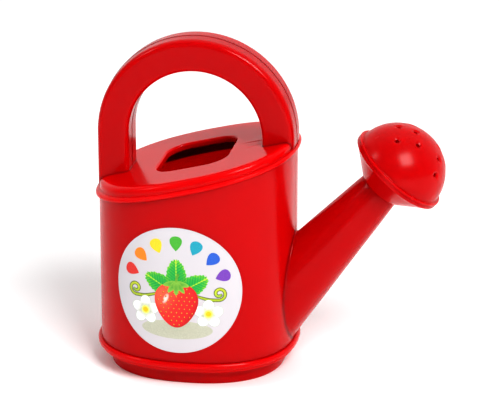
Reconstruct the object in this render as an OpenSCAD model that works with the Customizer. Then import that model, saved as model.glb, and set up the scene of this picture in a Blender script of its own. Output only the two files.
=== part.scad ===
// Child's watering can: an oval tank with a sloping deck, a two-shell arched
// handle, a conical spout and a turning rose with a pull-off perforated face.
// Origin: centre of the foot ring, on the ground. +X towards the spout, +Z up.

/* [Body] */
// Length of the oval body, in the pouring direction
body_length = 120; // [110:1:135]
// Width of the oval body
body_width = 110; // [100:1:125]
// Squareness of the oval: 2 is an ellipse, higher is squarer
oval_power = 2.35; // [2:0.05:2.8]
// Thickness of the moulded walls
wall = 2; // [1.8:0.1:2.2]
// Height of the deck bead at the middle of the body
bead_height = 124; // [120:1:135]
// Slope of the deck, rising towards the spout, in degrees
deck_slope = 14; // [10:0.5:16]
// Height of the flat deck above its bead
deck_rise = 7; // [6:0.5:9]
// How far the beads stand proud of the wall
bead_proud = 2.2; // [1.5:0.1:2.6]

/* [Base] */
// How far the foot ring sits inside the wall line
foot_inset = 6; // [5:0.5:8]
// Height of the foot ring below the bottom bead
foot_height = 9.6; // [8:0.2:11]
// Gap between the ground and the pan's floor
floor_rise = 1.5; // [1:0.1:2.5]

/* [Filler hole] */
// Size of the filler hole along the slope
filler_length = 45; // [30:1:50]
// Size of the filler hole across the deck
filler_width = 54; // [40:1:60]
// Corner radius of the filler hole
filler_corner = 13; // [6:1:16]

/* [Handle] */
// Outer radius of the handle's arch
arch_outer = 61; // [55:1:62]
// Radial depth of the handle's section
arch_depth = 20; // [16:1:22]
// Width of the handle's section
arch_width = 25; // [20:1:30]
// Height of the arch's centre above the ground
arch_height = 144.7; // [140:0.1:152]
// Rounding of the handle's edges
arch_round = 5; // [4:0.5:8]

/* [Spout and rose] */
// Rise of the spout's axis above the horizontal, in degrees
spout_angle = 49.8; // [45:0.1:52]
// Outer radius of the spout where its axis meets the wall
spout_root_r = 22.7; // [20:0.1:24]
// Outer radius of the spout at its mouth
spout_mouth_r = 12.8; // [12.4:0.1:14]
// Length of the spout's axis outside the body
spout_length = 96.5; // [85:0.5:110]
// Radius of the rose's rim
rose_r = 31; // [28:0.5:34]
// Radius of the rose's domed face
dome_r = 29.5; // [26:0.5:30]
// Radius of the sprinkling holes
spray_hole_r = 1.15; // [0.8:0.05:1.5]

/* [Sticker] */
// Diameter of the sticker on the front wall
sticker_d = 80; // [50:1:84]
// Height of the sticker's centre
sticker_height = 62; // [50:1:75]

/* [Hidden] */
red = "#d8101c";
half_l = body_length / 2;
half_w = body_width / 2;
oval_points = 72;
fit = 0.05;                    // gap between parts that seat in each other
eps = 0.02;                    // thickness of the slices that a hull joins
far = 200;                     // longer than the whole body
round_fn = 96;                 // segments of a round part
slope_k = tan(deck_slope);
// Base
bead_low = foot_height + 2;    // foot of the bottom bead's ridge
band_inset = 0.3;              // plain band below the ridge
wall_low = foot_height + 6.1;  // lower edge of the body wall
skirt_t = 1.6;                 // wall of the skirts that plug into the body wall
skirt_in = wall + fit + skirt_t;
pan_skirt_top = 23;
// Deck
wall_high = -1.7;              // wall's upper edge, measured from the deck bead
deck_t = wall;
deck_skirt = 7;                // depth of the deck's skirt below the wall's edge
// Handle
leg_r = arch_outer - arch_depth;
peg_r = 1.5;
peg_angles = [40, 90, 140];
tab = [8, 2.5, 5.5];           // length, thickness and depth below the deck top
tab_y = arch_width / 2 - wall - tab[1] / 2 + 0.4;
// Spout and rose, measured along the spout's axis from where it meets the wall
spout_at = [49.4, 0, 41.5];
spout_in = -26;                // inner end of the spout's cone
taper = (spout_root_r - spout_mouth_r) / spout_length;
socket_r = 10.9;               // bore that takes the rose's plug
socket_depth = 12;
plug_r = socket_r - fit;
flange_w = 3.5;                // width of the spout's flange behind the wall
flange_low = 17.2;
cup_low = spout_length + 0.1;
rim_low = spout_length + 14.5;
rim_seam = rim_low + 2.4;
rim_high = rim_seam + 1.8;
dome_at = rim_high - 3.5;      // centre of the dome
cup_t = 1.8;
spigot_r = 25.5;               // rose face's spigot, inside the cup's rim
spigot_depth = 2.5;
// Pairs of sprinkling holes half a turn apart: tilt from the axis, count, first angle
spray_rings = [[18, 2, 157], [28, 2, 103], [29, 2, 29], [38, 2, 170], [47, 2, 132], [49, 2, 41]];
sticker_t = 0.3;
sticker_at = -3;

function sgn_pow(v, p) = sign(v) * pow(abs(v), p);

// Points of the body's oval, drawn in by `inset` all round
function oval_path(inset) = [
    for (i = [0 : oval_points - 1])
        let (t = 360 * i / oval_points)
        [(half_l - inset) * sgn_pow(cos(t), 2 / oval_power),
         (half_w - inset) * sgn_pow(sin(t), 2 / oval_power)]
];

module oval(inset) {
    polygon(oval_path(inset));
}

// Upright oval tube from height z0 to z1, between two insets
module tube(z0, z1, outer, inner) {
    translate([0, 0, z0])
        linear_extrude(z1 - z0)
            difference() {
                oval(outer);
                oval(inner);
            }
}

// Thin oval slices joined into one solid; each slice is [height, inset]
module level_stack(slices) {
    hull()
        for (s = slices)
            translate([0, 0, s[0]])
                linear_extrude(eps)
                    oval(s[1]);
}

// The same on the slope; heights are measured from the deck bead
module sloping_stack(slices) {
    hull()
        for (s = slices)
            multmatrix([[1, 0, 0, 0], [0, 1, 0, 0], [slope_k, 0, 1, bead_height + s[0]]])
                linear_extrude(eps)
                    oval(s[1]);
}

// Everything above the sloping plane at height h over the deck bead
module above(h) {
    translate([0, 0, bead_height + h])
        rotate([0, -deck_slope, 0])
            translate([-far / 2, -far / 2, 0])
                cube([far, far, far]);
}

// Everything below the same plane
module below(h) {
    translate([0, 0, bead_height + h])
        rotate([0, -deck_slope, 0])
            translate([-far / 2, -far / 2, -far])
                cube([far, far, far]);
}

// Places children on the spout's axis, where +Z runs out along the spout
module on_spout() {
    translate(spout_at)
        rotate([0, 90 - spout_angle, 0])
            children();
}

// The spout's cone, `grow` larger all round, from one station to another
module spout_cone(grow, from, to) {
    on_spout()
        translate([0, 0, from])
            cylinder(h = to - from, r1 = spout_root_r + grow - taper * from,
                     r2 = spout_root_r + grow - taper * to, $fn = round_fn);
}

// Rectangle with round corners, centred
module rounded_rect(l, w, r) {
    square([l - 2 * r, w], center = true);
    square([l, w - 2 * r], center = true);
    for (x = [-1, 1], y = [-1, 1])
        translate([x * (l / 2 - r), y * (w / 2 - r)])
            circle(r, $fn = 48);
}

// Deck's outside, with its bead; `lift` raises it so that a part can be cut to stand on it
module deck_outside(lift) {
    sloping_stack([
        [lift - 1.7, 0], [lift - 1.1, -bead_proud * 0.75], [lift, -bead_proud],
        [lift + 1.1, -bead_proud * 0.75], [lift + 1.7, 0]
    ]);
    sloping_stack([
        for (a = [0 : 15 : 90])
            [lift + deck_rise * sin(a) - eps, deck_rise * (1 - cos(a))]
    ]);
}

module handle_tabs(grow) {
    for (sx = [-1, 1], sy = [-1, 1])
        translate([sx * (leg_r + arch_depth / 2), sy * tab_y,
                   bead_height + sx * (leg_r + arch_depth / 2) * slope_k + deck_rise - tab[2]])
            translate([-tab[0] / 2 - grow, -tab[1] / 2 - grow, 0])
                cube([tab[0] + 2 * grow, tab[1] + 2 * grow, tab[2] + 8]);
}

// Oval sleeve of the body, open at both ends, with the hole for the spout
module body_wall() {
    color(red)
        difference() {
            intersection() {
                tube(wall_low, far, 0, wall);
                below(wall_high);
            }
            spout_cone(fit, spout_in, spout_length / 2);
        }
}

// Bottom pan: foot ring, raised floor, bottom bead and a skirt inside the wall
module base_pan() {
    color(red)
        difference() {
            union() {
                linear_extrude(bead_low)
                    oval(foot_inset);
                translate([0, 0, foot_height])
                    linear_extrude(bead_low - foot_height)
                        oval(band_inset);
                level_stack([
                    [bead_low - 0.5, band_inset + 0.3], [bead_low + 1, -bead_proud * 0.8],
                    [bead_low + 2.2, -bead_proud], [wall_low - 0.8, -bead_proud * 0.8],
                    [wall_low - fit - eps, 0]
                ]);
                difference() {
                    translate([0, 0, bead_low])
                        linear_extrude(pan_skirt_top - bead_low)
                            oval(wall + fit);
                    intersection() {
                        spout_cone(flange_w + 1, spout_in, spout_length / 2);
                        translate([0, -half_w, flange_low - 0.5])
                            cube([far, body_width, far]);
                    }
                }
            }
            translate([0, 0, -1])
                linear_extrude(floor_rise + 1)
                    oval(foot_inset + wall);
            translate([0, 0, floor_rise + wall])
                linear_extrude(bead_low - floor_rise - wall)
                    oval(foot_inset + wall);
            translate([0, 0, bead_low - 0.2])
                linear_extrude(far)
                    oval(skirt_in);
        }
}

// Sloping deck with its bead, the filler hole and a skirt inside the wall
module top_deck() {
    color(red)
        difference() {
            union() {
                difference() {
                    deck_outside(0);
                    sloping_stack([
                        [-2, skirt_in], [1, skirt_in], [2.8, skirt_in + 1],
                        [deck_rise - deck_t - 0.8, skirt_in + 2.6],
                        [deck_rise - deck_t, skirt_in + 5]
                    ]);
                }
                intersection() {
                    tube(0, far, wall + fit, skirt_in);
                    below(wall_high + 1);
                    above(wall_high - deck_skirt);
                }
            }
            translate([-1, 0, bead_height + deck_rise - slope_k])
                rotate([0, -deck_slope, 0])
                    translate([0, 0, -12])
                        linear_extrude(24)
                            rounded_rect(filler_length, filler_width, filler_corner);
            handle_tabs(fit);
        }
}

// Section of the handle, drawn in by `inset`, at its distance from the arch's centre
module handle_section(inset) {
    translate([leg_r + arch_depth / 2, 0])
        rounded_rect(arch_depth - 2 * inset, arch_width - 2 * inset, arch_round - inset);
}

// Arch and both legs, drawn in by `inset`; the legs run down past the deck
module handle_solid(inset) {
    translate([0, 0, arch_height])
        rotate([90, 0, 0])
            rotate_extrude(angle = 180, $fn = round_fn)
                handle_section(inset);
    for (m = [0, 1])
        mirror([m, 0, 0])
            translate([0, 0, arch_height / 2])
                linear_extrude(arch_height / 2)
                    handle_section(inset);
}

// Places children at each locating peg, where +Z points to the front
module at_pegs() {
    for (a = peg_angles)
        translate([0, 0, arch_height])
            rotate([0, -a, 0])
                translate([leg_r + arch_depth / 2, 0, 0])
                    rotate([90, 0, 0])
                        children();
}

// One half of the hollow handle; side is -1 for the front and 1 for the rear
module handle_half(side) {
    difference() {
        intersection() {
            union() {
                difference() {
                    handle_solid(0);
                    handle_solid(wall);
                }
                at_pegs()
                    translate([0, 0, -arch_width / 2 + 1])
                        cylinder(h = arch_width - 2, r = peg_r + 1.5, $fn = 32);
                intersection() {
                    handle_tabs(0);
                    handle_solid(0.5);
                }
            }
            translate([-far / 2, side > 0 ? fit / 2 : -far - fit / 2, 0])
                cube([far, far, far + far]);
            above(0);
        }
        difference() {
            deck_outside(fit);
            handle_tabs(0);
        }
    }
}

// Front half of the handle, with the locating pegs
module handle_front() {
    color(red) {
        handle_half(-1);
        at_pegs()
            translate([0, 0, -4])
                cylinder(h = 6, r = peg_r, $fn = 32);
    }
}

// Rear half of the handle, with the sockets for the pegs
module handle_rear() {
    color(red)
        difference() {
            handle_half(1);
            at_pegs()
                translate([0, 0, -5])
                    cylinder(h = 10, r = peg_r + fit, $fn = 32);
        }
}

// Conical spout, with a saddle flange behind the wall and a round socket at its mouth
module spout() {
    color(red)
        difference() {
            union() {
                difference() {
                    spout_cone(0, spout_in, spout_length);
                    linear_extrude(far)
                        oval(wall + fit);
                    linear_extrude(wall_low + fit)
                        oval(-wall);
                }
                intersection() {
                    spout_cone(flange_w, spout_in, spout_length / 2);
                    tube(flange_low, bead_height, wall + fit, skirt_in);
                    translate([0, -half_w, 0])
                        cube([far, body_width, far]);
                }
            }
            spout_cone(-wall, spout_in - 1, spout_length - socket_depth - 4);
            on_spout() {
                translate([0, 0, spout_length - socket_depth - 4 - eps])
                    cylinder(h = 4 + 2 * eps,
                             r1 = spout_root_r - wall - taper * (spout_length - socket_depth - 4),
                             r2 = socket_r, $fn = round_fn);
                translate([0, 0, spout_length - socket_depth])
                    cylinder(h = socket_depth + 1, r = socket_r, $fn = round_fn);
            }
        }
}

// Flared cup of the rose: a plug in the spout's socket, a collar, a cone and a rim
module rose_cup() {
    color(red)
        on_spout()
            rotate_extrude($fn = round_fn)
                polygon([
                    [plug_r - cup_t, cup_low - socket_depth + 1],
                    [plug_r, cup_low - socket_depth + 1],
                    [plug_r, cup_low],
                    [spout_mouth_r + 0.4, cup_low],
                    [spout_mouth_r + 2.4, cup_low + 1.2],
                    [rose_r - 1.6, rim_low - 0.6],
                    [rose_r, rim_low + 0.6],
                    [rose_r, rim_seam],
                    [spigot_r + fit, rim_seam],
                    [spigot_r + fit, rim_seam - spigot_depth - 0.1],
                    [spigot_r - 0.9, rim_seam - spigot_depth - 0.1],
                    [plug_r - cup_t, cup_low + 2.4]
                ]);
}

// Domed face of the rose, with its flange, its spigot and the sprinkling holes
module rose_face() {
    color(red)
        on_spout()
            difference() {
                union() {
                    intersection() {
                        translate([0, 0, dome_at])
                            sphere(dome_r, $fn = round_fn);
                        translate([0, 0, rim_seam + 0.5])
                            cylinder(h = far / 2, r = rose_r, $fn = round_fn);
                    }
                    translate([0, 0, rim_seam + fit])
                        cylinder(h = rim_high - rim_seam - fit, r = rose_r, $fn = round_fn);
                    translate([0, 0, rim_seam - spigot_depth])
                        cylinder(h = spigot_depth + 1, r = spigot_r, $fn = round_fn);
                }
                translate([0, 0, rim_seam - spigot_depth - 1])
                    cylinder(h = spigot_depth + 3, r = spigot_r - 1.6, $fn = round_fn);
                intersection() {
                    translate([0, 0, dome_at])
                        sphere(dome_r - cup_t, $fn = round_fn);
                    translate([0, 0, rim_seam + 1.6])
                        cylinder(h = far / 2, r = rose_r, $fn = round_fn);
                }
                for (ring = spray_rings, k = [0 : ring[1] - 1])
                    translate([0, 0, dome_at])
                        rotate([0, 0, -ring[2] - 360 * k / ring[1]])
                            rotate([0, ring[0], 0])
                                translate([0, 0, dome_r - 5])
                                    cylinder(h = 8, r = spray_hole_r, $fn = 16);
            }
}

// Round vinyl sticker that follows the front wall
module front_sticker() {
    color("white")
        intersection() {
            tube(sticker_height - sticker_d / 2 - 1, sticker_height + sticker_d / 2 + 1,
                 -sticker_t, 0);
            translate([sticker_at, 0, sticker_height])
                rotate([90, 0, 0])
                    linear_extrude(half_w + 1)
                        polygon([
                            for (i = [0 : oval_points - 1])
                                let (t = 360 * i / oval_points)
                                [0.965 * sticker_d / 2 * cos(t), sticker_d / 2 * sin(t)]
                        ]);
        }
}

body_wall();
base_pan();
top_deck();
handle_front();
handle_rear();
spout();
rose_cup();
rose_face();
front_sticker();
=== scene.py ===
import bmesh
import bpy
import numpy as np
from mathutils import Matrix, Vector


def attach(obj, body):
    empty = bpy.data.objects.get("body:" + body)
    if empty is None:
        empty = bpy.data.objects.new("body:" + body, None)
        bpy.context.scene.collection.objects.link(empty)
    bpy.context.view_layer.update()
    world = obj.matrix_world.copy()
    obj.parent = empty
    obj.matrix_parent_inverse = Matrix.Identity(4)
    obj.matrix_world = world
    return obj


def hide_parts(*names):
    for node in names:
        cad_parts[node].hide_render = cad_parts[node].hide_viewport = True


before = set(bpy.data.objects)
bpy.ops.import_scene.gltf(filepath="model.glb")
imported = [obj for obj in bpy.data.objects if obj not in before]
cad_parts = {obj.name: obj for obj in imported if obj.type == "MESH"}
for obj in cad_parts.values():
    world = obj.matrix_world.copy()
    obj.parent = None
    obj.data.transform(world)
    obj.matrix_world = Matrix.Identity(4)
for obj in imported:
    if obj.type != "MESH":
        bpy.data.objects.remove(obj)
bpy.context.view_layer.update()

# ---- Base pan ---------------------------------------------------------------------------------
# The tank's bottom: an injection-moulded polypropylene pan with a foot ring, a thin floor and a
# bead. Its skirt is pushed up inside the body wall and heat-welded. Lengths here are millimetres.

HALF_LENGTH, HALF_WIDTH, SQUARENESS = 60.0, 55.0, 2.35
BEAD_PROUD = 2.2
PAN_SEAT = 15.65  # the bead's top, which the wall stands on


def linear(code):
    """An sRGB hex colour as linear red, green, blue and alpha."""
    srgb = np.array([int(code[i : i + 2], 16) for i in (1, 3, 5)]) / 255
    low, high = srgb / 12.92, ((srgb + 0.055) / 1.055) ** 2.4
    return (*np.where(srgb <= 0.04045, low, high).tolist(), 1.0)


def oval(turn, inset):
    """Squared oval: cosine and sine of the turn, each raised to 2 / squareness with its sign
    kept, times the half axes less the inset."""
    cos, sin = np.cos(turn), np.sin(turn)
    x = (HALF_LENGTH - inset) * np.sign(cos) * np.abs(cos) ** (2 / SQUARENESS)
    y = (HALF_WIDTH - inset) * np.sign(sin) * np.abs(sin) ** (2 / SQUARENESS)
    return x, y


def turns_round(count, ends, right=()):
    """Turns at even steps of length round the oval, and at given distances from the parting
    plane: the sine that puts y there is the distance over the half width, to squareness / 2."""
    fine = np.linspace(0, 2 * np.pi, 20001)
    x, y = oval(fine, 0)
    length = np.concatenate([[0], np.cumsum(np.hypot(np.diff(x), np.diff(y)))])
    even = np.interp(np.linspace(0, length[-1], count, endpoint=False), length, fine)
    close = np.arcsin((np.array(ends) / HALF_WIDTH) ** (SQUARENESS / 2))
    near = np.arcsin((np.array(right) / HALF_WIDTH) ** (SQUARENESS / 2))
    turns = [even, close, -close, np.pi - close, np.pi + close, near, -near]
    return np.unique(np.round(np.concatenate(turns) % (2 * np.pi), 6))


def softened(corners):
    """Profile through corners (a, b, cut). A corner becomes the parabola that starts and ends
    `cut` away from it on its two sides, with a point outside each end that keeps the side flat."""
    corners = np.array(corners, float)
    here, cut = corners[:, :2], corners[:, 2:]
    back, ahead = np.roll(here, 1, 0) - here, np.roll(here, -1, 0) - here
    back = back / np.linalg.norm(back, axis=1, keepdims=True)
    ahead = ahead / np.linalg.norm(ahead, axis=1, keepdims=True)
    s = np.linspace(0, 1, 7)[:, None, None]
    arc = (1 - s) ** 2 * (here + back * cut) + 2 * s * (1 - s) * here + s**2 * (here + ahead * cut)
    hold = np.minimum(0.2, 0.4 * cut)
    arc = np.concatenate([(here + back * (cut + hold))[None], arc, (here + ahead * (cut + hold))[None]])
    return arc.transpose(1, 0, 2).reshape(-1, 2)


def stepped(profile, step):
    """The same profile with points added so that none is further than `step` from the next."""
    length = np.concatenate([[0], np.cumsum(np.linalg.norm(np.diff(profile, axis=0), axis=1))])
    at = np.union1d(length, np.arange(0, length[-1], step))
    return np.stack([np.interp(at, length, profile[:, i]) for i in range(profile.shape[1])], 1)


def shell(name, sheets, colours=None):
    """One closed mesh from sheets of points in millimetres, each (points, wraps down, wraps
    across, faces kept). Neighbouring points make a face; equal points are merged."""
    faces, first = [], 0
    for points, down, across, kept in sheets:
        index = first + np.arange(points.shape[0] * points.shape[1]).reshape(points.shape[:2])
        index = np.pad(index, ((0, int(down)), (0, int(across))), mode="wrap")
        quads = np.stack([index[:-1, :-1], index[:-1, 1:], index[1:, 1:], index[1:, :-1]], -1)
        faces.append(quads.reshape(-1, 4) if kept is None else quads[kept])
        first += points.shape[0] * points.shape[1]
    points = np.concatenate([sheet[0].reshape(-1, 3) for sheet in sheets]) / 1000
    mesh = bpy.data.meshes.new(name)
    mesh.from_pydata(points.tolist(), [], np.concatenate(faces).tolist())
    if colours is not None:
        layer = mesh.attributes.new("print_colour", "FLOAT_COLOR", "POINT")
        layer.data.foreach_set("color", np.concatenate(colours).astype(np.float32).ravel())
    work = bmesh.new()
    work.from_mesh(mesh)
    bmesh.ops.remove_doubles(work, verts=work.verts, dist=2e-6)
    loose = [v for v in work.verts if not v.link_faces]
    bmesh.ops.delete(work, geom=loose, context="VERTS")
    bmesh.ops.recalc_face_normals(work, faces=work.faces)
    work.to_mesh(mesh)
    work.free()
    smooth_with_edges(mesh)
    piece = bpy.data.objects.new(name, mesh)
    bpy.context.collection.objects.link(piece)
    return piece


def smooth_with_edges(mesh):
    mesh.shade_smooth()
    mesh.set_sharp_from_angle(angle=np.radians(40))


def oval_rows(profile, turns):
    """A profile of (inset, height) carried round the oval."""
    x, y = oval(turns, profile[:, :1])
    return np.stack([x, y, profile[:, 1:] + 0 * x], -1)


def with_flash(points, height, width):
    """Parting line of the mould: a bell-shaped ridge on the two ends of the oval, where y is 0."""
    x, y, z = np.moveaxis(points, -1, 0)
    ridge = height * np.exp(-((y / width) ** 2)) * (np.abs(x) > HALF_LENGTH - 1)
    x = np.clip(x + np.sign(x) * ridge, -HALF_LENGTH - BEAD_PROUD, HALF_LENGTH + BEAD_PROUD)
    return np.stack([x, y, z], -1)


def add_node(tree, kind, sockets=None, links=None, **settings):
    """Adds a shader node with its settings, socket values and incoming links."""
    node = tree.nodes.new("ShaderNode" + kind)
    for name, value in settings.items():
        setattr(node, name, value)
    for name, value in (sockets or {}).items():
        node.inputs[name].default_value = value
    for name, source in (links or {}).items():
        tree.links.new(source, node.inputs[name])
    return node


def moulded_polypropylene(name, colour, roughness, peel_mm, peel_depth):
    """Glossy moulded polypropylene. The steel's polish leaves a faint orange peel, the surface
    dulls in soft patches where the melt cooled at another rate, and the pigment drifts a
    little. Noise scale is 1000 / feature size in millimetres, as coordinates are in metres."""
    material = bpy.data.materials.new(name)
    material.use_nodes = True
    tree = material.node_tree
    tree.nodes.clear()
    place = add_node(tree, "TexCoord").outputs["Object"]
    drift = add_node(tree, "TexNoise", {"Scale": 1000 / 38, "Detail": 2.0}, {"Vector": place})
    patches = add_node(tree, "TexNoise", {"Scale": 1000 / 14, "Detail": 4.0}, {"Vector": place})
    peel = add_node(tree, "TexNoise", {"Scale": 1000 / peel_mm, "Detail": 3.0}, {"Vector": place})
    tint = add_node(tree, "ValToRGB", links={"Fac": drift.outputs["Fac"]})
    base = linear(colour)
    tint.color_ramp.elements[0].position = 0.3
    tint.color_ramp.elements[0].color = (base[0] * 0.955, base[1] * 0.9, base[2] * 0.9, 1)
    tint.color_ramp.elements[1].position = 0.7
    tint.color_ramp.elements[1].color = base
    dull = add_node(tree, "MapRange", {"From Min": 0.3, "From Max": 0.7,
        "To Min": roughness - 0.035, "To Max": roughness + 0.045}, {"Value": patches.outputs["Fac"]})
    relief = add_node(tree, "Bump", {"Strength": 1.0, "Distance": peel_depth / 1000},
        {"Height": peel.outputs["Fac"]})
    surface = add_node(tree, "BsdfPrincipled", {"IOR": 1.49, "Specular IOR Level": 0.18,
        "Subsurface Weight": 0.75, "Subsurface Radius": (1.0, 0.1, 0.08), "Subsurface Scale": 0.013},
        {"Base Color": tint.outputs["Color"], "Roughness": dull.outputs["Result"],
         "Normal": relief.outputs["Normal"]})
    add_node(tree, "OutputMaterial", links={"Surface": surface.outputs["BSDF"]})
    return material


def fit_piece(piece, material, body, node):
    piece.data.materials.append(material)
    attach(piece, body)
    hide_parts(node)


FLASH_STEPS = [0.12, 0.25, 0.4, 0.55, 0.75, 1.1, 1.7, 2.4, 3.2]
turns = turns_round(320, FLASH_STEPS)
pan_side = stepped(softened([
    (14, 3.5, 0.0), (8, 3.5, 0.8), (8, 11.4, 0.4), (3.65, 11.4, 0.4), (3.65, 23, 0.3), (2.05, 23, 0.4),
    (2.05, PAN_SEAT, 0.1), (-1.2, PAN_SEAT, 0.4), (-2.1, 14.6, 0.55), (-2.1, 12.5, 0.7),
    (-0.1, 11.75, 0.35), (-0.25, 9.9, 0.45), (6, 9.55, 0.7), (6, 0, 1.1), (8, 0, 0.5),
    (8, 1.5, 0.5), (14, 1.5, 0.0),
])[8:-8], 3)
pan_rows = with_flash(oval_rows(pan_side, turns), 0.12, 0.6)
spoke = np.arctan2(pan_rows[0, :, 1], pan_rows[0, :, 0])


def disc_rows(radii, heights):
    """Circles about the middle of the floor, at the turns of the oval's own points."""
    radii, heights = np.array(radii)[:, None], np.array(heights)[:, None]
    return np.stack([radii * np.cos(spoke), radii * np.sin(spoke), heights + 0 * spoke], -1)


floor_top = disc_rows([0, 8, 18, 30], [3.5] * 4)
floor_under = disc_rows([30, 18, 6, 4.2, 3.8, 1.3, 1.1, 0], [1.5, 1.5, 1.5, 1.5, 1.9, 1.9, 1.1, 1.1])
base_pan = shell("base_pan_moulding", [
    (np.concatenate([floor_top, pan_rows, floor_under]), False, True, None)
])
# Red polypropylene straight from a polished mould: even, fairly glossy, soft reflections.
pan_plastic = moulded_polypropylene("polypropylene_red_pan", "#c80209", 0.17, 2.6, 0.006)
fit_piece(base_pan, pan_plastic, "can", "base_pan")

# ---- Body wall --------------------------------------------------------------------------------
# The tank's oval sleeve, moulded in polypropylene in a two-part mould that opens across the
# spout's plane, so a fine ridge runs up each end. It stands on the pan's bead.

WALL_FOOT, WALL_TOP = 15.7, 122.3
SLOPE_ANGLE = np.radians(14)
SLOPE = np.tan(SLOPE_ANGLE)
SPOUT_ANGLE = np.radians(49.8)
SPOUT_AT = np.array([49.4, 0, 41.5])
SPOUT_TAPER = 0.1026
ROOT_RADIUS = 22.7


def along_spout(angle, radius, station):
    """Point at a station along the spout's axis, a radius away from it, at an angle that is 0
    on the spout's underside and half a turn on its top."""
    angle, radius, station = np.broadcast_arrays(angle, radius, station)
    axis = np.array([np.cos(SPOUT_ANGLE), 0, np.sin(SPOUT_ANGLE)])
    under = np.array([np.sin(SPOUT_ANGLE), 0, -np.cos(SPOUT_ANGLE)])
    side = np.array([0, 1.0, 0])
    return (SPOUT_AT + station[..., None] * axis + (radius * np.cos(angle))[..., None] * under
        + (radius * np.sin(angle))[..., None] * side)


def turned(name, profile, count, first=0.0):
    """A closed profile of (radius, station) turned about the spout's axis."""
    angle = first + np.linspace(0, 2 * np.pi, count, endpoint=False)
    return shell(name, [(along_spout(angle, profile[:, :1], profile[:, 1:]), True, True, None)])


wall_side = stepped(softened([
    (0, WALL_FOOT, 0.25), (0, WALL_TOP, 0.3), (2, WALL_TOP, 0.3), (2, WALL_FOOT, 0.25),
]), 5)
wall_rows = with_flash(oval_rows(wall_side, turns), 0.16, 0.45)
# The upper edge is cut to the deck's slope, and heights in between are shared out evenly.
wall_rows[..., 2] += (wall_rows[..., 2] - WALL_FOOT) / (WALL_TOP - WALL_FOOT) * SLOPE * wall_rows[..., 0]
body_wall = shell("body_wall_moulding", [(wall_rows, True, True, None)])
stations = np.array([-26.0, 48.0])
hole_radius = ROOT_RADIUS + 0.05 - SPOUT_TAPER * stations
punch = turned("spout_hole_punch", np.array([
    (0, stations[0]), (hole_radius[0], stations[0]), (hole_radius[1], stations[1]), (0, stations[1]),
]), 128)
cut = body_wall.modifiers.new("spout_hole", "BOOLEAN")
cut.operation = "DIFFERENCE"
cut.solver = "EXACT"
cut.object = punch
graph = bpy.context.evaluated_depsgraph_get()
body_wall.data = bpy.data.meshes.new_from_object(body_wall.evaluated_get(graph))
body_wall.modifiers.clear()
bpy.data.objects.remove(punch)
smooth_with_edges(body_wall.data)
# The largest moulding cools slowly: duller than the pan, with the widest peel.
wall_plastic = moulded_polypropylene("polypropylene_red_wall", "#c6030a", 0.22, 4.5, 0.006)
fit_piece(body_wall, wall_plastic, "can", "body_wall")

# ---- Top deck ---------------------------------------------------------------------------------
# The tank's sloping lid, moulded in polypropylene with a bead, a round shoulder and a filler
# hole with a turned-in lip. It is welded to the wall. Sink marks run out from the right leg.

BEAD_HEIGHT, DECK_RISE, DECK_UNDERSIDE = 124.0, 7.0, 5.0
FLAT_ROWS = 58
HOLE_X, HOLE_HALF_LENGTH, HOLE_HALF_WIDTH, HOLE_CORNER = -1.0, 21.83, 27.0, 13.0


def deck_height(x, above_bead):
    return BEAD_HEIGHT + SLOPE * x + above_bead


def filler_outline(angle, grown):
    """Rounded rectangle as a distance from its middle for each angle: the nearer straight side,
    or the far side of the corner's circle where the ray passes beyond both sides' ends."""
    c, s = np.abs(np.cos(angle)) + 1e-9, np.abs(np.sin(angle)) + 1e-9
    half_x, half_y, corner = HOLE_HALF_LENGTH + grown, HOLE_HALF_WIDTH + grown, HOLE_CORNER + grown
    mid_x, mid_y = half_x - corner, half_y - corner
    reach = c * mid_x + s * mid_y
    round_ = reach + np.sqrt(np.maximum(reach**2 - mid_x**2 - mid_y**2 + corner**2, 0))
    distance = np.where(half_x * s / c <= mid_y, half_x / c, round_)
    distance = np.where(half_y * c / s <= mid_x, half_y / s, distance)
    return HOLE_X + distance * np.cos(angle), distance * np.sin(angle)


deck_turns = turns_round(320, FLASH_STEPS, right=np.arange(0.5, 17, 0.5))
deck_outer = stepped(softened([
    (3.65, -8.7, 0.0), (2.05, -8.7, 0.3), (2.05, -1.65, 0.0), (-1.2, -1.65, 0.3), (-2.1, -0.8, 0.4),
    (-2.1, 0.6, 0.5), (-1.1, 1.4, 0.3), (0.35, 1.55, 0.35), (0.2, 7.0, 4.6), (7.0, 7.0, 0.0),
])[1:-1], 2)
deck_inner = stepped(softened([
    (9.5, 5.0, 0.0), (4.6, 4.2, 1.2), (3.65, 1.5, 0.8), (3.65, -8.7, 0.0),
])[1:-1], 3)
outer_rows = with_flash(oval_rows(deck_outer, deck_turns), 0.12, 0.6)
inner_rows = oval_rows(deck_inner, deck_turns)
edge_x, edge_y = outer_rows[-1, :, 0], outer_rows[-1, :, 1]
hole_angle = np.arctan2(edge_y, edge_x - HOLE_X)
# The hole was trimmed by hand, so its edge by the right leg wanders a few tenths.
wander = 0.3 * np.sin(23 * hole_angle + 1) * np.sin(9 * hole_angle) + 0.16 * np.sin(51 * hole_angle)
wander = wander * np.exp(-((hole_angle / 0.55) ** 4))
lip = softened([
    (3.0, 7.0, 0.0), (0, 7.0, 1.5), (0, 3.0, 0.5), (1.3, 3.0, 0.4), (1.6, 5.0, 0.3), (3.4, 5.0, 0.0),
])[8:-9]
lip_x, lip_y = filler_outline(hole_angle, lip[:, :1] + wander)
lip_rows = np.stack([lip_x, lip_y, lip[:, 1:] + 0 * lip_x], -1)
share = np.linspace(0, 1, FLAT_ROWS + 2)[1:-1, None]
flat_x = (1 - share) * edge_x + share * lip_x[0]
flat_y = (1 - share) * edge_y + share * lip_y[0]
flat_rows = np.stack([flat_x, flat_y, DECK_RISE + 0 * flat_x], -1)
share = np.linspace(0, 1, 12)[1:-1, None]
under_x = (1 - share) * lip_x[-1] + share * inner_rows[0, :, 0]
under_y = (1 - share) * lip_y[-1] + share * inner_rows[0, :, 1]
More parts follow.
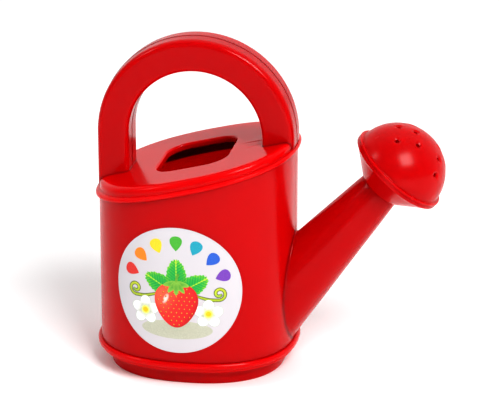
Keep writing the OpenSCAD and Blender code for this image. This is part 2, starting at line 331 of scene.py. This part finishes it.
under_rows = np.stack([under_x, under_y, DECK_UNDERSIDE + 0 * under_x], -1)
deck_rows = np.concatenate([outer_rows, flat_rows, lip_rows, under_rows, inner_rows])
# The lip's wall is square to the slope, so it leans back by its depth times sine times cosine.
lip_start = len(outer_rows) + FLAT_ROWS
on_lip = slice(lip_start, lip_start + len(lip_rows))
lean_back = (DECK_RISE - deck_rows[on_lip, :, 2]) * np.sin(SLOPE_ANGLE) * np.cos(SLOPE_ANGLE)
deck_rows[on_lip, :, 0] += lean_back


def sink_mark(x, y, start, end, depth, width):
    """Fall of the surface beside a line: a bell of the distance to the nearest point on it."""
    start, run = np.array(start), np.array(end) - np.array(start)
    share = np.clip(((x - start[0]) * run[0] + (y - start[1]) * run[1]) / (run @ run), 0, 1)
    away = np.hypot(x - start[0] - share * run[0], y - start[1] - share * run[1])
    return depth * (0.4 + 0.6 * share) * np.exp(-((away / width) ** 2))


flat = slice(len(outer_rows), lip_start)
x, y = deck_rows[flat, :, 0], deck_rows[flat, :, 1]
deck_rows[flat, :, 2] -= (sink_mark(x, y, (27.5, 2.6), (42.0, 3.2), 0.42, 0.75)
    + sink_mark(x, y, (31.0, -10.0), (42.0, -3.6), 0.24, 0.8)
    + sink_mark(x, y, (30.0, 9.0), (38.0, 20.0), 0.1, 2.4)
    - sink_mark(x, y, (28.0, 0.6), (42.0, 0.2), 0.12, 1.1))
deck_rows[..., 2] = deck_height(deck_rows[..., 0], deck_rows[..., 2])
top_deck = shell("top_deck_moulding", [(deck_rows, True, True, None)])
# Nearly as glossy as the pan, in a slightly brighter batch of pigment.
deck_plastic = moulded_polypropylene("polypropylene_red_deck", "#d2030a", 0.18, 3.0, 0.007)
fit_piece(top_deck, deck_plastic, "can", "top_deck")

# ---- Handle halves ----------------------------------------------------------------------------
# Two hollow polypropylene half shells of one arch, pegged and welded together down the middle,
# which leaves a raised line round the outside. Their legs are welded to the deck.

ARCH_HEIGHT = 144.7
FLARE = 0.45  # radius of the weld fillet at a leg's foot


def measured(profile):
    """Share of a profile's length at each of its points."""
    length = np.concatenate([[0], np.cumsum(np.linalg.norm(np.diff(profile, axis=0), axis=1))])
    return length / length[-1]


half_outside = stepped(softened([
    (41.0, -0.03, 0.0), (41.0, -0.5, 0.12), (41.2, -0.8, 0.15), (41.15, -12.35, 2.9), (60.5, -12.35, 4.3),
    (60.75, -0.9, 0.2), (61.0, -0.62, 0.12), (61.0, -0.03, 0.0),
])[8:-8], 1.5)
half_inside = stepped(softened([
    (43.0, -0.03, 0.0), (43.2, -10.4, 2.0), (58.6, -10.4, 3.0), (59.0, -0.03, 0.0),
])[8:-8], 1.5)
# The broad side is crowned by 0.15 mm.
crown = np.clip(1 - ((half_outside[:, 0] - 50.1) / 6.0) ** 2, 0, 1) * (half_outside[:, 1] < -12.3)
half_outside[:, 1] -= 0.15 * crown
outside_share = measured(half_outside)
inside_share = measured(half_inside)
half_inside = np.stack([np.interp(outside_share, inside_share, half_inside[:, i]) for i in (0, 1)], 1)
tangent = np.gradient(half_outside, axis=0)
flare_way = np.stack([tangent[:, 1], -tangent[:, 0]], 1)
flare_way /= np.linalg.norm(flare_way, axis=1, keepdims=True)
flare_way *= np.clip((59.4 - half_outside[:, :1]) / 1.5, 0, 1) * np.clip(-half_outside[:, 1:] / 1.2, 0, 1)


def oval_reach(x, y, inset):
    """|x / a| and |y / b| to the squareness, added: over 1 outside the oval with this inset."""
    along, across = np.abs(x) / (HALF_LENGTH - inset), np.abs(y) / (HALF_WIDTH - inset)
    return along**SQUARENESS + across**SQUARENESS


def shoulder_height(x, y):
    """Height of the deck over its bead: the inset of the oval through (x, y) is found by
    halving, then read off the deck's own profile."""
    low, high = np.full(np.shape(x), -2.0), np.full(np.shape(x), 30.0)
    for _ in range(40):
        middle = (low + high) / 2
        outside = oval_reach(x, y, middle) > 1
        low, high = np.where(outside, low, middle), np.where(outside, middle, high)
    rising = deck_outer[deck_outer[:, 1] > 1.6]
    return np.interp((low + high) / 2, rising[:, 0], rising[:, 1])


def handle_grid(side):
    """The half's section, a loop of its outside and its inside, carried up one leg, round the
    arch and down the other. A leg's foot follows the deck and flares as a quarter circle."""
    rows = []
    lifts = np.array([0, 0.04, 0.1, 0.18, 0.3, FLARE])
    for leg in (-1, 1):
        feet = []
        for lift in [None, *lifts]:
            bare = 0 if lift is None else np.sqrt(FLARE**2 - (FLARE - lift) ** 2)
            outside = half_outside + (FLARE - bare) * flare_way
            loop = np.concatenate([outside, half_inside[::-1]])
            if lift is None:
                loop = (loop + loop[::-1]) / 2
            foot = deck_height(leg * loop[:, 0], shoulder_height(loop[:, 0], loop[:, 1]))
            foot = foot + (0.02 if lift is None else lift + 0.02)
            feet.append(np.stack([leg * loop[:, 0], loop[:, 1], foot], -1))
        loop = np.concatenate([half_outside, half_inside[::-1]])
        for part in np.linspace(0, 1, 10 if leg < 0 else 4)[1:-1]:
            height = (1 - part) * feet[-1][:, 2] + part * ARCH_HEIGHT
            feet.append(np.stack([leg * loop[:, 0], loop[:, 1], height], -1))
        rows.append(np.array(feet))
    angle = np.linspace(np.pi, 0, 121)[:, None]
    arch = [loop[:, 0] * np.cos(angle), loop[:, 1] + 0 * angle, ARCH_HEIGHT + loop[:, 0] * np.sin(angle)]
    grid = np.concatenate([rows[0], np.stack(arch, -1), rows[1][::-1]])
    return grid * [1, side, 1]


# The handle's mould has the best polish, so its gloss is the highest and its peel faint.
handle_plastic = moulded_polypropylene("polypropylene_red_handle", "#c00109", 0.16, 3.2, 0.006)
for name, side in (("handle_front", 1), ("handle_rear", -1)):
    half = shell(name + "_moulding", [(handle_grid(side), False, True, None)])
    fit_piece(half, handle_plastic, "can", name)

# ---- Spout ------------------------------------------------------------------------------------
# A conical tube moulded in polypropylene in the same two-part mould, so a ridge runs along its
# top and underside. A flange holds it behind the wall, a bead of melt rounds its root outside.

SPOUT_LENGTH = 96.5
SOCKET_RADIUS = 10.9


def cone_radius(station, grown):
    return ROOT_RADIUS + grown - SPOUT_TAPER * station


def meets_wall(angle, grown, inset):
    """Station where the cone's straight line at this angle crosses the body's oval, by halving."""
    low, high = np.full(np.shape(angle), -30.0), np.full(np.shape(angle), 70.0)
    for _ in range(40):
        middle = (low + high) / 2
        x, y, _z = np.moveaxis(along_spout(angle, cone_radius(middle, grown), middle), -1, 0)
        reach = oval_reach(x, y, inset)
        low, high = np.where(reach > 1, low, middle), np.where(reach > 1, middle, high)
    return (low + high) / 2


fine_angles = np.array([0.08, 0.17, 0.27, 0.4, 0.6, 0.9, 1.4]) / 17
spout_angle = np.unique(np.round(np.concatenate([
    np.linspace(0, 2 * np.pi, 224, endpoint=False), fine_angles, np.pi + fine_angles, np.pi - fine_angles,
    2 * np.pi - fine_angles,
]), 6))
from_parting = (spout_angle + np.pi / 2) % np.pi - np.pi / 2
root_fillet = 2.2 - 0.9 * np.clip(np.cos(spout_angle), 0, 1) ** 2
at_wall = meets_wall(spout_angle, 0, 0)
fillet_top = at_wall + 1.35 * root_fillet


def cone_row(station, grown):
    return along_spout(spout_angle, cone_radius(station, grown), station)


def wall_row(grown, inset):
    return cone_row(meets_wall(spout_angle, grown, inset), grown)


down = np.linspace(0, 1, 26)[:, None]
outside_station = SPOUT_LENGTH - 0.35 + down * (fillet_top - SPOUT_LENGTH + 0.35)
faded = np.clip(down * 8, 0, 1) * np.clip((1 - down) * 6, 0, 1)
ridge = 0.17 * np.exp(-((from_parting * 17 / 0.42) ** 2)) * faded
s = np.linspace(0, 1, 9)[1:, None, None]
bend = (1 - s) ** 2 * cone_row(fillet_top, 0) + 2 * s * (1 - s) * cone_row(at_wall, 0)
bend = bend + s**2 * wall_row(root_fillet, 0.02)
flange = np.stack([wall_row(0.0, 0.2), wall_row(0.0, 2.05), wall_row(3.5, 2.05), wall_row(3.5, 3.65)])
flange[..., 2] = np.maximum(flange[..., 2], np.array([0, 0, 17.2, 17.2])[:, None])
bore_start = meets_wall(spout_angle, -2.0, 3.65)
bore_station = bore_start + np.linspace(0, 1, 12)[:, None] * (80.5 - bore_start)
mouth = np.array([(SOCKET_RADIUS, 84.5), (SOCKET_RADIUS, 90), (SOCKET_RADIUS, 96.2), (11.1, SPOUT_LENGTH),
    (12.5, SPOUT_LENGTH), (12.72, 96.42)])
spout_rows = np.concatenate([
    cone_row(outside_station, ridge), bend, flange, cone_row(bore_station, -2.0),
    along_spout(spout_angle, mouth[:, :1], mouth[:, 1:]),
])
spout = shell("spout_moulding", [(spout_rows, True, True, None)])
# As glossy as the deck, a shade deeper in colour and with a finer peel.
spout_plastic = moulded_polypropylene("polypropylene_red_spout", "#c00109", 0.18, 2.6, 0.006)
fit_piece(spout, spout_plastic, "can", "spout")

# ---- Rose cup ---------------------------------------------------------------------------------
# The rose's back: a flared polypropylene cup whose plug is a push fit in the spout, so it can be
# turned round. A thin collar stops it on the spout's mouth.

RIM_SEAM = 113.4
ROSE_RADIUS = 31.0
rose_cup_side = stepped(softened([
    (9.05, 85.7, 0.2), (10.85, 85.7, 0.5), (10.85, 96.6, 0.1), (13.2, 96.6, 0.3), (15.1, 97.8, 0.9),
    (29.4, 110.4, 0.9), (30.95, 111.45, 0.5), (ROSE_RADIUS, RIM_SEAM, 0.32),
    (25.55, RIM_SEAM, 0.1), (25.55, 110.8, 0.1), (24.6, 110.8, 0.4), (9.05, 98.8, 0.5),
]), 2)
rose_cup = turned("rose_cup_moulding", rose_cup_side, 256)
# Moulded like the spout, in the same deep red and with the same gloss.
cup_plastic = moulded_polypropylene("polypropylene_red_rose_cup", "#c00109", 0.18, 2.6, 0.006)
fit_piece(rose_cup, cup_plastic, "rose_cup", "rose_cup")

# ---- Rose face --------------------------------------------------------------------------------
# The rose's domed front, pressed into the cup by a spigot so it can be pulled off to clean. Its
# twelve holes were pierced warm, which left a dimple and a soft burr round each.

DOME_AT = 111.7
DOME_OUT, DOME_IN = 29.4, 27.7
HOLE_RADIUS = 1.15
CELLS, HOLE_CELLS, BLEND_CELLS = 160, 3, 10
BLEND_RADIUS = HOLE_RADIUS + 0.42 * (BLEND_CELLS - HOLE_CELLS)
# Each hole's tilt from the axis and first turn, in degrees. Its twin is half a turn round.
SPRAY_PAIRS = [(18, 157), (28, 103), (29, 29), (38, 170), (47, 132), (49, 41)]


def dome_directions(widest):
    """Directions on the dome from a square grid: the larger of |u| and |v| gives the tilt from
    the axis, the other over it gives the turn within its quarter."""
    u, v = np.meshgrid(*[np.linspace(-1, 1, CELLS + 1)] * 2, indexing="ij")
    flat_side = np.abs(u) > np.abs(v)
    big = np.where(flat_side, u, v)
    ratio = np.where(flat_side, v, u) / np.where(big == 0, 1, big)
    turn = np.where(flat_side, np.pi / 4 * ratio, np.pi / 2 - np.pi / 4 * ratio)
    tilt = big * widest
    return np.stack([np.sin(tilt) * np.cos(turn), np.sin(tilt) * np.sin(turn), np.cos(tilt)], -1)


def pierced(way, lift):
    """Moves the grid round each hole onto circles: the k-th square ring of points becomes a
    circle, fully near the hole and less and less further out. `lift` is the burr's height at
    each ring. Returns the directions, the lifts, each hole's own ring and the faces kept."""
    way, raised = way.copy(), np.zeros(way.shape[:2])
    kept, rims = np.ones((CELLS, CELLS), bool), []
    for tilt, first in np.radians(SPRAY_PAIRS):
        for turn in (-first, np.pi - first):
            aim = np.array([np.sin(tilt) * np.cos(turn), np.sin(tilt) * np.sin(turn), np.cos(tilt)])
            i, j = np.unravel_index(np.argmax(way @ aim), way.shape[:2])
            block = tuple(slice(at - BLEND_CELLS, at + BLEND_CELLS + 1) for at in (i, j))
            a, b = np.meshgrid(*[np.arange(-BLEND_CELLS, BLEND_CELLS + 1)] * 2, indexing="ij")
            ring = np.maximum(np.abs(a), np.abs(b))
            along = way[i + 1, j] - way[i - 1, j]
            along = along - (along @ aim) * aim
            along /= np.linalg.norm(along)
            across = np.cross(aim, along)
            across *= np.sign(across @ (way[i, j + 1] - way[i, j - 1]))
            side = np.abs(a) >= np.abs(b)
            big = np.where(side, a, b)
            ratio = np.where(side, b, a) / np.where(big == 0, 1, big)
            angle = np.where(side, np.pi / 4 * ratio, np.pi / 2 - np.pi / 4 * ratio)
            radius = np.interp(ring, [0, HOLE_CELLS, BLEND_CELLS], [0, HOLE_RADIUS, BLEND_RADIUS])
            radius = (np.sign(big) * radius / DOME_OUT)[..., None]
            circle = aim + radius * np.cos(angle)[..., None] * along
            circle = circle + radius * np.sin(angle)[..., None] * across
            circle /= np.linalg.norm(circle, axis=-1, keepdims=True)
            share = np.clip((BLEND_CELLS - ring) / (BLEND_CELLS - HOLE_CELLS - 2), 0, 1)[..., None]
            share = share * share * (3 - 2 * share)
            mixed = share * circle + (1 - share) * way[block]
            way[block] = mixed / np.linalg.norm(mixed, axis=-1, keepdims=True)
            raised[block] += np.interp(ring, np.arange(len(lift)), lift)
            kept[i - HOLE_CELLS : i + HOLE_CELLS, j - HOLE_CELLS : j + HOLE_CELLS] = False
            step = np.arange(-HOLE_CELLS, HOLE_CELLS)
            edge = HOLE_CELLS + 0 * step
            rim_i = i + np.concatenate([step, edge, -step, -edge])
            rim_j = j + np.concatenate([-edge, step, edge, -step])
            rims.append((rim_i, rim_j))
    return way, raised, rims, kept


def dome_points(way, radius):
    tilt = np.arccos(np.clip(way[..., 2], -1, 1))
    turn = np.arctan2(way[..., 1], way[..., 0])
    return along_spout(turn, radius * np.sin(tilt), DOME_AT + radius * np.cos(tilt))


burr = [-0.72, -0.72, -0.72, -0.72, -0.5, -0.18, 0.07, 0.11, 0.05, 0.01]
out_way, burr_lift, rims, kept = pierced(dome_directions(np.arccos(4.2 / DOME_OUT)), burr)
in_way, _flat, in_rims, _kept = pierced(dome_directions(np.arccos(3.3 / DOME_IN)), [0.0, 0.0])
dome_out = dome_points(out_way, DOME_OUT + burr_lift)
dome_in = dome_points(in_way, DOME_IN)
edge = np.arange(CELLS)
ends = 0 * edge
ring_i = np.concatenate([edge, CELLS + ends, CELLS - edge, ends])
ring_j = np.concatenate([ends, edge, CELLS + ends, CELLS - edge])
ring_turn = np.arctan2(out_way[ring_i, ring_j, 1], out_way[ring_i, ring_j, 0])
face_side = softened([
    (29.1, 117.0, 0.0), (29.2, 115.25, 0.45), (ROSE_RADIUS, 115.2, 0.55), (ROSE_RADIUS, 113.45, 0.32),
    (25.5, 113.45, 0.1), (25.5, 110.95, 0.4), (23.9, 110.95, 0.3), (23.9, 115.0, 0.3), (27.4, 115.0, 0.0),
])[9:-9]
side_rows = np.concatenate([
    dome_out[ring_i, ring_j][None], along_spout(ring_turn, face_side[:, :1], face_side[:, 1:]),
    dome_in[ring_i, ring_j][None],
])
hole_walls = [(np.stack([dome_out[o], dome_in[n]]), False, True, None) for o, n in zip(rims, in_rims)]
rose_face = shell("rose_face_moulding", [
    (dome_out, False, False, kept), (dome_in, False, False, kept), (side_rows, False, True, None),
    *hole_walls,
])
# Handled most and pierced warm: the dullest skin of all, with a fine, deeper peel.
face_plastic = moulded_polypropylene("polypropylene_red_rose_face", "#c80209", 0.24, 1.9, 0.009)
fit_piece(rose_face, face_plastic, "rose_face", "rose_face")

# ---- Sticker ----------------------------------------------------------------------------------
# A round label of white vinyl film on the front wall, screen-printed with a plain fruit picture
# and seven coloured drops. Each layer of ink stands a fiftieth of a millimetre above the last.

LABEL_X, LABEL_Z, LABEL_RADIUS = -3.0, 62.0, 40.0
FILM = 0.16
wall_x = np.linspace(-59.5, 59.5, 4001)
wall_y = -HALF_WIDTH * (1 - np.abs(wall_x / HALF_LENGTH) ** SQUARENESS) ** (1 / SQUARENESS)
wall_length = np.concatenate([[0], np.cumsum(np.hypot(np.diff(wall_x), np.diff(wall_y)))])
wall_length -= np.interp(LABEL_X, wall_x, wall_length)


def on_wall(across, up, proud):
    """Point on the front wall: `across` is a length along its curve from the label's middle,
    `up` a height from it, `proud` a distance out along the normal."""
    x = np.interp(across, wall_length, wall_x)
    y = np.interp(across, wall_length, wall_y)
    slope_x = np.sign(x) * np.abs(x / HALF_LENGTH) ** (SQUARENESS - 1) / HALF_LENGTH
    slope_y = -np.abs(y / HALF_WIDTH) ** (SQUARENESS - 1) / HALF_WIDTH
    size = np.hypot(slope_x, slope_y)
    return np.stack([x + proud * slope_x / size, y + proud * slope_y / size, LABEL_Z + up + 0 * x], -1)


def patch(outline, low, high, rings):
    """A thin closed slab with a given outline about its middle: rings of the outline shrunk to
    the middle, low on the back and high on the face."""
    part = np.linspace(0, 1, rings)
    scale = np.concatenate([part, part[::-1]])[:, None]
    proud = np.concatenate([low + 0 * part, high + 0 * part])[:, None]
    across, up, middle = outline[0], outline[1], outline[2]
    return on_wall(middle[0] + scale * across, middle[1] + scale * up, proud + 0 * scale * across), scale


spin = np.linspace(0, 2 * np.pi, 240, endpoint=False)
film_rows, _ = patch((LABEL_RADIUS * np.cos(spin), LABEL_RADIUS * np.sin(spin), (0, 0)), 0.0, FILM, 26)
film = shell("sticker_film", [(film_rows, True, True, None)])
vinyl = bpy.data.materials.new("vinyl_white_calendered")
vinyl.use_nodes = True
tree = vinyl.node_tree
tree.nodes.clear()
place = add_node(tree, "TexCoord").outputs["Object"]
# Calendered film: flat and satin, with a very fine grain. The grain is drawn at 0.8 mm.
grain = add_node(tree, "TexNoise", {"Scale": 1000 / 0.8, "Detail": 2.0}, {"Vector": place})
relief = add_node(tree, "Bump", {"Distance": 0.000004}, {"Height": grain.outputs["Fac"]})
surface = add_node(tree, "BsdfPrincipled", {"Base Color": linear("#ccc8cc"), "Roughness": 0.38, "IOR": 1.5},
    {"Normal": relief.outputs["Normal"]})
add_node(tree, "OutputMaterial", links={"Surface": surface.outputs["BSDF"]})
fit_piece(film, vinyl, "can", "front_sticker")

print_sheets, print_colours = [], []
LAYER = 0.02
POINTS = 72
round_ = np.linspace(0, 2 * np.pi, POINTS, endpoint=False)


def ink(outline, middle, layer, paint, rings=5):
    """Adds one patch of ink. `paint` gives red, green and blue for each point from its share of
    the way out and its place about the middle."""
    rows, scale = patch((*outline, middle), FILM / 2, FILM + LAYER * layer, rings)
    across, up = scale * outline[0], scale * outline[1]
    colour = paint(scale + 0 * across, across, up)
    print_sheets.append((rows, True, True, None))
    print_colours.append(np.concatenate([colour, np.ones((*across.shape, 1))], -1).reshape(-1, 4))


def tone(*codes):
    """Colours between hex codes: the share 0 to 1 runs from the first to the last."""
    table = np.array([linear(code)[:3] for code in codes])
    stops = np.linspace(0, 1, len(codes))
    return lambda share: np.stack([np.interp(share, stops, table[:, i]) for i in range(3)], -1)


def radial(*codes):
    """Paint that runs through the colours from the patch's middle to its edge."""
    return lambda scale, across, up: tone(*codes)(scale)


def plain(code):
    return radial(code, code)


def ellipse(half_a, half_b, lean=0.0):
    """Ellipse turned by `lean` degrees."""
    lean = np.radians(lean)
    a, b = half_a * np.cos(round_), half_b * np.sin(round_)
    return a * np.cos(lean) - b * np.sin(lean), a * np.sin(lean) + b * np.cos(lean)


def leaf(length, width, lean, teeth):
    """Leaf outline about its middle: half length times the cosine, half width times the sine
    drawn in towards the tip, and a saw-tooth of the turn for the serrated edge."""
    saw = 1 + 0.15 * (((round_ * teeth / (2 * np.pi)) % 1) - 0.5)
    a = length / 2 * np.cos(round_) * saw
    b = width / 2 * np.sin(round_) * (1 - 0.22 * np.cos(round_)) * saw
    lean = np.radians(lean)
    return a * np.cos(lean) - b * np.sin(lean), a * np.sin(lean) + b * np.cos(lean)


def leaf_paint(length, lean, dark, mid, light):
    """Pale veins on green: the midrib lies near the leaf's axis, and side veins repeat along
    it and slant outwards."""
    lean = np.radians(lean)

    def paint(scale, across, up):
        along = across * np.cos(lean) + up * np.sin(lean)
        off = np.abs(-across * np.sin(lean) + up * np.cos(lean))
        vein = np.exp(-((((along - 0.75 * off) / 1.9) % 1 - 0.5) / 0.2) ** 2)
        rib = np.exp(-((off / 0.35) ** 2))
        share = np.clip(0.05 + 0.45 * vein + 0.35 * scale**3 + 0.15 * along / length + 0.7 * rib, 0, 1)
        return tone(dark, mid, light)(share)

    return paint


def stroke(points, width, layer, paint):
    """A line of ink: a smooth path through points, as wide as given and narrowing to nothing at
    its two ends."""
    points = np.array(points, float)
    share = np.linspace(0, 1, len(points))
    fine = np.linspace(0, 1, 16 * len(points))
    path = np.stack([np.interp(fine, share, points[:, i]) for i in (0, 1)], 1)
    kernel = np.hanning(19)
    padded = np.pad(path, ((9, 9), (0, 0)), mode="edge")
    path = np.stack([np.convolve(padded[:, i], kernel / kernel.sum(), "valid") for i in (0, 1)], 1)
    way = np.gradient(path, axis=0)
    way /= np.linalg.norm(way, axis=1, keepdims=True)
    half = width / 2 * np.clip(np.minimum(fine, 1 - fine) * 14, 0, 1) ** 0.5
    sides = np.array([-1, -0.5, 0, 0.5, 1, 1, 0, -1])
    proud = np.array([FILM + LAYER * layer] * 5 + [FILM / 2] * 3)
    across = path[:, :1] - way[:, 1:] * half[:, None] * sides
    up = path[:, 1:] + way[:, :1] * half[:, None] * sides
    print_sheets.append((on_wall(across, up, proud + 0 * across), False, True, None))
    colour = paint(fine[:, None] + 0 * across)
    print_colours.append(np.concatenate([colour, np.ones((*across.shape, 1))], -1).reshape(-1, 4))


# A plain, mirrored fruit picture, all worked out by formula: an oval ground, a fan of three leaves,
# a blossom and a curled tendril on each side, one upright berry and an arc of seven drops.
ink(ellipse(22, 6), (0, -25), 1, radial("#b9baa6", "#bebfac"), 12)
for side in (-1, 1):
    turn = np.linspace(0, 2.5 * np.pi, 24)
    wound = 4.2 - 0.42 * turn
    curl = np.stack([side * (26 + wound * np.sin(turn)), -1 - wound * np.cos(turn)], 1)
    tendril = np.concatenate([[(side * 6, 1), (side * 13, -3), (side * 20, -5)], curl])
    stroke(tendril, 2.2, 2, tone("#3c4a1e", "#3c4a1e"))
    stroke(tendril, 1.4, 3, tone("#9fb52a", "#c3cf3a", "#8fb93a"))
for lean in (30, 90, 150):
    middle = (13 * np.cos(np.radians(lean)), -2 + 13 * np.sin(np.radians(lean)))
    ink(leaf(18, 12, lean, 20), middle, 4, leaf_paint(18, lean, "#079a4c", "#35b83e", "#cfe23a"), 16)


def blossom(middle, layer, reach, size):
    """Five-petalled white flower: ellipses set evenly round the middle, shaded grey at the heart,
    with a yellow button of stamens."""
    for turn in range(18, 378, 72):
        out = np.radians(turn)
        centre = (middle[0] + reach * np.cos(out), middle[1] + reach * np.sin(out))
        ink(ellipse(size * 1.07 + 0.25, size * 0.9 + 0.25, turn), centre, layer, plain("#b9c4b4"), 4)
        ink(ellipse(size * 1.07, size * 0.9, turn), centre, layer + 1,
            lambda scale, across, up, out=out: tone("#ccd4bb", "#ececec", "#f2f2f2")(
                np.clip(0.5 + (across * np.cos(out) + up * np.sin(out)) / size / 1.4, 0, 1)), 6)
    ink(ellipse(0.75 * size, 0.75 * size), middle, layer + 2, radial("#e8cf1a", "#efe03c", "#dfe8a0"), 5)
    ink(ellipse(0.42 * size, 0.42 * size), middle, layer + 3, plain("#e6c313"), 3)


for side in (-1, 1):
    blossom((side * 19.5, -14), 5, 5.0, 3.7)


def berry(middle, size, layer):
    """Upright berry: an egg that narrows downwards, one soft shine, staggered rows of pips and a
    fan of five sepals under a short stalk."""
    taper, tall, pitch = 0.26, 1.12 * size, 3.2
    outline = (size * np.cos(round_) * (1 + taper * np.sin(round_)), tall * np.sin(round_))
    ink(outline, middle, layer, lambda scale, across, up: tone(
        "#f2694a", "#ee2f28", "#e01e22", "#c1121a")(
            np.clip(0.36 + (across - 0.6 * up) / size / 2.6 + 0.3 * scale**5, 0, 1)), 16)
    shine_at = (middle[0] - 0.5 * size, middle[1] + 0.28 * size)
    shine = ellipse(0.3 * size, 0.13 * size, 65)
    ink(shine, shine_at, layer + 1, radial("#fbe6df", "#f9cfc4", "#ee6350"), 6)
    row, column = np.meshgrid(np.arange(-8, 9), np.arange(-8, 9))
    pip_x, pip_y = pitch * (column + 0.5 * (row % 2)), 0.8 * pitch * row
    level = pip_y / tall
    half_width = size * np.sqrt(np.clip(1 - level**2, 0, 1)) * (1 + taper * level)
    inside = np.abs(pip_x) < half_width - 1.4
    for px, py in zip(middle[0] + pip_x[inside], middle[1] + pip_y[inside]):
        ink(ellipse(0.66, 0.5, 70), (px, py), layer + 2, plain("#a81a16"), 2)
        ink(ellipse(0.4, 0.27, 70), (px + 0.08, py + 0.12), layer + 3, plain("#f2c23e"), 2)
    top = (middle[0], middle[1] + 0.98 * tall)
    for lean in range(194, 347, 38):
        sepal_at = (top[0] + 4 * np.cos(np.radians(lean)), top[1] + 4 * np.sin(np.radians(lean)))
        ink(leaf(9, 3.6, lean, 0), sepal_at, layer + 4, radial("#5da53a", "#8cc04a"), 4)
    stalk = [top, (top[0] + 0.4, top[1] + 3), (top[0] + 1.6, top[1] + 6)]
    stroke(stalk, 1.5, layer + 5, tone("#7fb23a", "#4f9a34"))


berry((0, -9), 13, 9)


def drop(lean, size):
    """Drop outline: a circle whose width falls with the sine of half the turn towards a point."""
    a = -size * np.cos(round_)
    b = size * 1.04 * np.sin(round_) * np.sin(round_ / 2)
    lean = np.radians(lean)
    return a * np.cos(lean) - b * np.sin(lean), a * np.sin(lean) + b * np.cos(lean)


rainbow = ("#d8342c", "#ee8a1c", "#ecd02a", "#4fae3a", "#1f9fb4", "#2d63c4", "#7a46b0")
for lean, code in zip(np.linspace(160, 20, len(rainbow)), rainbow):
    middle = (30 * np.cos(np.radians(lean)), 30 * np.sin(np.radians(lean)))
    ink(drop(lean, 4.7), middle, 4, plain(code), 4)
ink_print = shell("sticker_print", print_sheets, print_colours)
# Screen inks: opaque, satin, a touch glossier than the film they sit on.
inks = bpy.data.materials.new("screen_ink_coloured")
inks.use_nodes = True
tree = inks.node_tree
tree.nodes.clear()
pigment = add_node(tree, "Attribute", attribute_name="print_colour")
place = add_node(tree, "TexCoord").outputs["Object"]
# Halftone mottle of the inks, half a millimetre across.
mottle = add_node(tree, "TexNoise", {"Scale": 1000 / 0.5, "Detail": 1.0}, {"Vector": place})
weight = add_node(tree, "MapRange", {"From Min": 0.35, "From Max": 0.65, "To Min": 0.9, "To Max": 1.06},
    {"Value": mottle.outputs["Fac"]})
tint = add_node(tree, "VectorMath", operation="SCALE",
    links={"Vector": pigment.outputs["Color"], "Scale": weight.outputs["Result"]})
surface = add_node(tree, "BsdfPrincipled", {"Roughness": 0.34, "IOR": 1.5},
    {"Base Color": tint.outputs["Vector"]})
add_node(tree, "OutputMaterial", links={"Surface": surface.outputs["BSDF"]})
fit_piece(ink_print, inks, "can", "front_sticker")

# ---- Studio -----------------------------------------------------------------------------------
# A plain white floor under soft light: a large square softbox to the front right and above, a
# small fill to the left, and a white surround that is brighter behind than in front.

floor_mesh = bpy.data.meshes.new("studio_floor")
reach = 12.0
corners = [(-reach, -reach, 0), (reach, -reach, 0), (reach, reach, 0), (-reach, reach, 0)]
floor_mesh.from_pydata(corners, [], [(0, 1, 2, 3)])
floor = bpy.data.objects.new("studio_floor", floor_mesh)
bpy.context.collection.objects.link(floor)
paper = bpy.data.materials.new("background_paper_white")
paper.use_nodes = True
tree = paper.node_tree
tree.nodes.clear()
surface = add_node(tree, "BsdfPrincipled",
    {"Base Color": linear("#fbfbfb"), "Roughness": 0.95, "Specular IOR Level": 0.0})
add_node(tree, "OutputMaterial", links={"Surface": surface.outputs["BSDF"]})
floor_mesh.materials.append(paper)

world = bpy.data.worlds.new("studio_surround")
world.use_nodes = True
bpy.context.scene.world = world
tree = world.node_tree
tree.nodes.clear()
# Brightness rises from the room in front to the lit backdrop behind and overhead.
towards = add_node(tree, "TexCoord").outputs["Generated"]
behind = add_node(tree, "VectorMath", {1: (0.0, 0.95, 0.3)}, {0: towards}, operation="DOT_PRODUCT")
glow = add_node(tree, "MapRange", {"From Min": -0.15, "From Max": 0.75, "To Min": 0.27, "To Max": 0.74},
    {"Value": behind.outputs["Value"]}, interpolation_type="SMOOTHSTEP")
surround = add_node(tree, "Background", {"Color": (1, 1, 1, 1)}, {"Strength": glow.outputs["Result"]})
add_node(tree, "OutputWorld", links={"Surface": surround.outputs["Background"]})
target = Vector((0.0318, 0, 0.1028))


def direction(azimuth, elevation):
    """Unit vector towards a place round the object: azimuth 0 is the front, 90 the right."""
    azimuth, elevation = np.radians(azimuth), np.radians(elevation)
    level = np.cos(elevation)
    return Vector((np.sin(azimuth) * level, -np.cos(azimuth) * level, np.sin(elevation)))


def softbox(name, azimuth, elevation, distance, size, radiance):
    """Square area light facing the object. Its power is radiance times pi times its area."""
    lamp = bpy.data.lights.new(name, "AREA")
    lamp.shape = "SQUARE"
    lamp.size = size
    lamp.energy = radiance * np.pi * size**2
    light = bpy.data.objects.new(name, lamp)
    bpy.context.collection.objects.link(light)
    way = direction(azimuth, elevation)
    light.location = target + way * distance
    light.rotation_euler = way.to_track_quat("Z", "Y").to_euler()


softbox("key_softbox", 39, 44, 2.2, 1.0, 11.2)
softbox("fill_softbox", -64, 39, 2.2, 0.55, 5.0)

camera_data = bpy.data.cameras.new("camera")
camera_data.sensor_width = 36
camera_data.lens = 202.4
camera_data.clip_end = 50
camera = bpy.data.objects.new("camera", camera_data)
bpy.context.collection.objects.link(camera)
way = direction(10.42, 19.39)
camera.location = Vector((0.03178, 0, 0.10278)) + way * 1.7137
camera.rotation_euler = way.to_track_quat("Z", "Y").to_euler()
bpy.context.scene.camera = camera
bpy.context.scene.view_settings.view_transform = "Standard"
bpy.context.scene.view_settings.look = "High Contrast"
